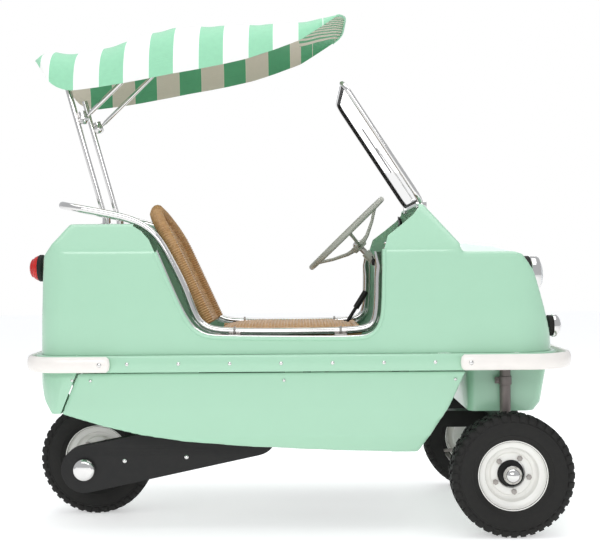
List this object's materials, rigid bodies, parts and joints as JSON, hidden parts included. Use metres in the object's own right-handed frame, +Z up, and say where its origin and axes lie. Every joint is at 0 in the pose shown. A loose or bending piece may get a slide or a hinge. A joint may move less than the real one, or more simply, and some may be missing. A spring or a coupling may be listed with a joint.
{
  "type": "pedal car",
  "caption": "Three-wheel pedal runabout: open cockpit, striped canopy on posts, raked windscreen, wicker seat, steered front wheels and a chain-driven rear wheel on a swing arm.",
  "frame": {"origin": "on the ground, below the centre of the overall box", "axes": "+X forwards to the bumper, +Y to the driver's left, +Z up"},
  "size_m": [1.9124, 0.893, 1.82],
  "materials": {
    "body_paint": "gloss gelcoat, mint green",
    "cream_paint": "gloss",
    "chrome": "polished",
    "black_paint": "satin",
    "pedal_rubber": "matte",
    "tyre": "matte",
    "cane": "woven, varnished",
    "cushion": "woven cover",
    "canopy_cloth": "striped cotton",
    "glass": "clear",
    "red_lens": "clear red",
    "steel": "satin",
    "grey_plastic": "semi gloss"
  },
  "bodies": {
    "chassis": {"upper_body": "body_paint", "lower_body": "body_paint", "tail_apron": "body_paint", "nose_pan": "body_paint", "belt_band": "body_paint", "dash_panel": "body_paint", "front_bumper": "cream_paint", "rear_bumper": "cream_paint", "cockpit_rail": "chrome", "windscreen_frame": "chrome", "chassis_frame": "black_paint", "floor_pan": "black_paint", "seat_pan": "black_paint", "handbrake_bracket": "black_paint", "kingpin_pillar_left": "steel", "kingpin_pillar_right": "steel", "windscreen_glass": "glass", "headlamp_shell_left": "chrome", "headlamp_shell_right": "chrome", "headlamp_lens_left": "glass", "headlamp_lens_right": "glass", "side_lamp_left": "chrome", "side_lamp_right": "chrome", "tail_lamp_left": "red_lens", "tail_lamp_right": "red_lens", "column_tube": "steel", "seat_back": "cane", "seat_cushion": "cushion", "canopy": "canopy_cloth", "canopy_post_left": "chrome", "canopy_post_right": "chrome", "canopy_strut_left": "chrome", "canopy_strut_right": "chrome", "rear_spring": "steel", "primary_chain": "steel"},
    "wiper": {"wiper_arm": "chrome"},
    "steering": {"steering_wheel": "grey_plastic", "steering_shaft": "steel"},
    "horn": {"horn_button": "grey_plastic"},
    "knuckle_left": {"stub_axle_left": "steel"},
    "knuckle_right": {"stub_axle_right": "steel"},
    "front_wheel_left": {"front_tyre_left": "tyre", "front_rim_left": "cream_paint", "hub_cap_left": "chrome"},
    "front_wheel_right": {"front_tyre_right": "tyre", "front_rim_right": "cream_paint", "hub_cap_right": "chrome"},
    "track_rod": {"tie_rod": "steel"},
    "rear_arm": {"swing_arm": "black_paint", "chain_case": "black_paint", "rear_axle": "chrome", "secondary_chain": "steel"},
    "rear_wheel": {"rear_tyre": "tyre", "rear_rim": "cream_paint", "rear_sprocket": "steel"},
    "jackshaft": {"jackshaft": "steel"},
    "crank": {"crankset": "steel"},
    "pedal_left": {"pedal_left": "pedal_rubber"},
    "pedal_right": {"pedal_right": "pedal_rubber"},
    "handbrake": {"handbrake_lever": "black_paint"}
  },
  "joints": [
    {"name": "steering_turn", "type": "hinge", "parent": "chassis", "child": "steering", "pos_m": [0.231, 0, 0.992], "axis": [-0.6947, 0, 0.7193], "range_deg": [-100, 100]},
    {"name": "kingpin_left_turn", "type": "hinge", "parent": "chassis", "child": "knuckle_left", "pos_m": [0.722, 0.3, 0.2075], "axis": [0, 0, 1], "range_deg": [-25.5, 25.5]},
    {"name": "kingpin_right_turn", "type": "hinge", "parent": "chassis", "child": "knuckle_right", "pos_m": [0.722, -0.3, 0.2075], "axis": [0, 0, 1], "range_deg": [-25.5, 25.5]},
    {"name": "track_rod_slide", "type": "slide", "parent": "chassis", "child": "track_rod", "axis": [0, 1, 0], "range_m": [-0.053, 0.053]},
    {"name": "front_left_spin", "type": "hinge", "parent": "knuckle_left", "child": "front_wheel_left", "pos_m": [0.722, 0.395, 0.2075], "axis": [0, 1, 0], "continuous": true},
    {"name": "front_right_spin", "type": "hinge", "parent": "knuckle_right", "child": "front_wheel_right", "pos_m": [0.722, -0.395, 0.2075], "axis": [0, 1, 0], "continuous": true},
    {"name": "rear_arm_swing", "type": "hinge", "parent": "chassis", "child": "rear_arm", "pos_m": [-0.15, 0, 0.33], "axis": [0, 1, 0], "range_deg": [0, 7], "stiffness_Nm_per_rad": 6000, "springref_deg": -6.88, "deforming": ["rear_spring"]},
    {"name": "rear_spin", "type": "hinge", "parent": "rear_arm", "child": "rear_wheel", "pos_m": [-0.749, 0, 0.2075], "axis": [0, 1, 0], "continuous": true},
    {"name": "jackshaft_turn", "type": "hinge", "parent": "chassis", "child": "jackshaft", "pos_m": [-0.15, 0, 0.33], "axis": [0, 1, 0], "continuous": true},
    {"name": "crank_turn", "type": "hinge", "parent": "chassis", "child": "crank", "pos_m": [0.385, 0, 0.56], "axis": [0, 1, 0], "continuous": true},
    {"name": "pedal_left_turn", "type": "hinge", "parent": "crank", "child": "pedal_left", "pos_m": [0.495, 0.221, 0.56], "axis": [0, 1, 0], "continuous": true},
    {"name": "pedal_right_turn", "type": "hinge", "parent": "crank", "child": "pedal_right", "pos_m": [0.275, -0.221, 0.56], "axis": [0, 1, 0], "continuous": true},
    {"name": "horn_press", "type": "slide", "parent": "steering", "child": "horn", "axis": [0.6947, 0, -0.7193], "range_m": [0, 0.003], "stiffness_N_per_m": 1200, "springref_m": -0.001},
    {"name": "wiper_sweep", "type": "hinge", "parent": "chassis", "child": "wiper", "pos_m": [0.44445, 0.1, 1.15936], "axis": [0.8381, 0, 0.5455], "range_deg": [-20, 70]},
    {"name": "handbrake_pull", "type": "hinge", "parent": "chassis", "child": "handbrake", "pos_m": [0.17, 0.27, 0.64], "axis": [0, -1, 0], "range_deg": [0, 30]}
  ],
  "couplings": [
    {"joint": "kingpin_left_turn", "follows": "steering_turn", "ratio": 0.25},
    {"joint": "kingpin_right_turn", "follows": "steering_turn", "ratio": 0.25},
    {"joint": "track_rod_slide", "follows": "steering_turn", "m_per_rad": -0.0296},
    {"joint": "jackshaft_turn", "follows": "rear_spin", "ratio": 1},
    {"joint": "crank_turn", "follows": "rear_spin", "ratio": 0.5}
  ]
}
